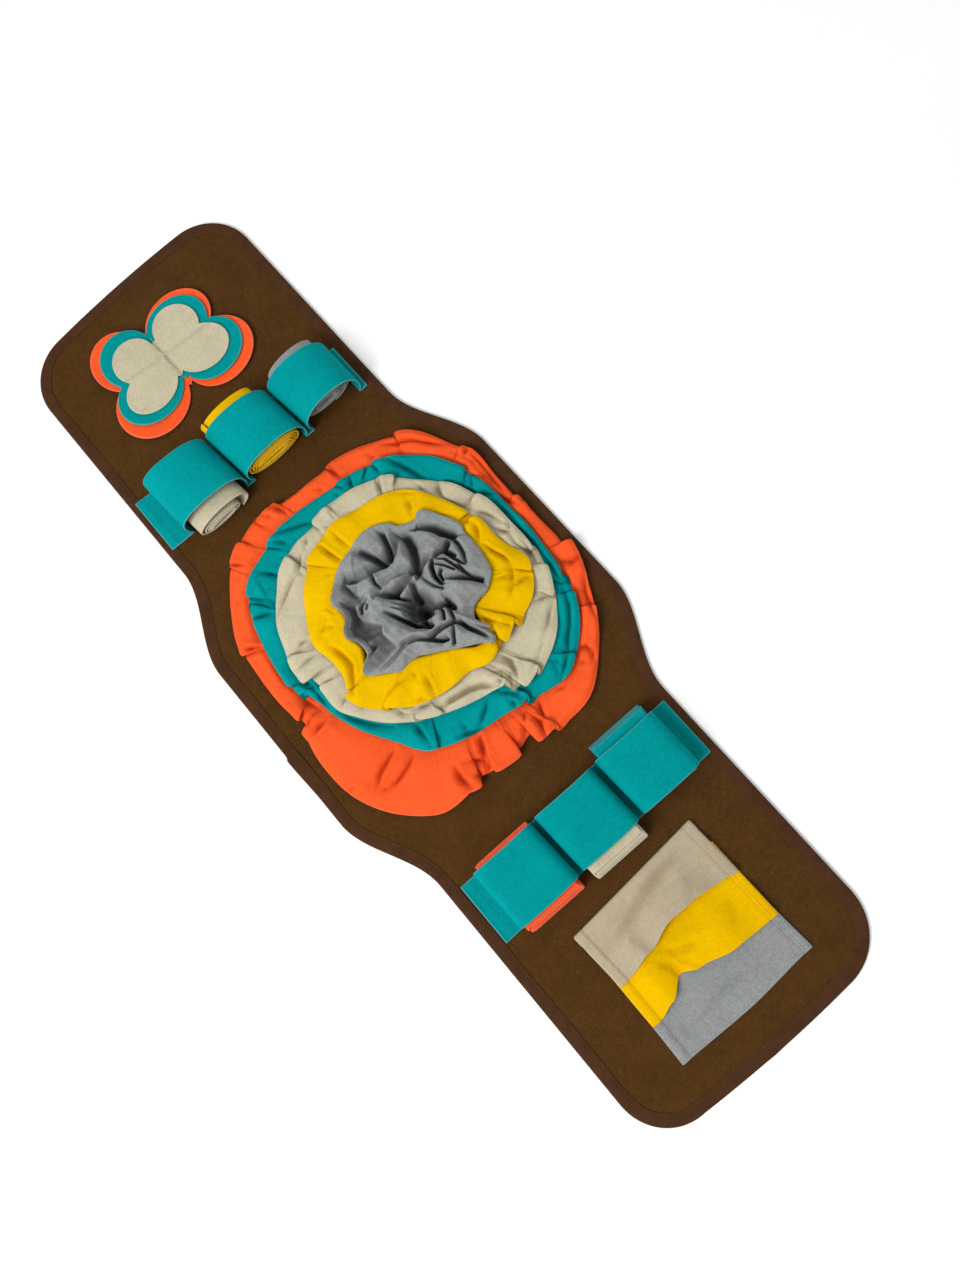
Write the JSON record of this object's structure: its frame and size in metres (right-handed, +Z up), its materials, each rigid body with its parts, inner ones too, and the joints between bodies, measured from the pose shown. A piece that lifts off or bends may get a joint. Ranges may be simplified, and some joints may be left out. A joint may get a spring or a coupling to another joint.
{
  "type": "snuffle mat",
  "caption": "Long fleece snuffle mat: pleated rosette, rolls and folded cloths in looped straps, layered butterfly and overlapping pocket flaps.",
  "frame": {"origin": "centre of the mat's underside, at the middle of its length and width", "axes": "+Z up through the mat, +Y along its length towards the butterfly end, +X across it to the right as seen from the pocket end"},
  "size_m": [0.3497, 1, 0.0532],
  "materials": {
    "base": "matte brown fleece with a short felted pile",
    "binding": "reddish brown twill tape, slightly smooth",
    "orange": "matte coral orange fleece",
    "teal": "matte deep teal fleece",
    "aqua": "matte light teal fleece",
    "cream": "matte cream fleece",
    "yellow": "matte yellow fleece",
    "grey": "matte mid grey fleece"
  },
  "bodies": {
    "root": {"base_panel": "base", "edge_binding": "binding", "butterfly_orange": "orange", "butterfly_teal": "teal", "butterfly_cream": "cream", "strap_upper": "aqua", "roll_cream": "cream", "roll_yellow": "yellow", "roll_grey": "grey", "strap_lower": "teal", "fold_orange": "orange", "fold_cream": "cream", "fold_teal": "teal", "pocket_cream": "cream", "pocket_yellow": "yellow", "pocket_grey": "grey", "ruffle_orange": "orange", "ruffle_teal": "teal", "ruffle_cream": "cream", "ruffle_yellow": "yellow", "ruffle_grey": "grey"}
  },
  "joints": []
}
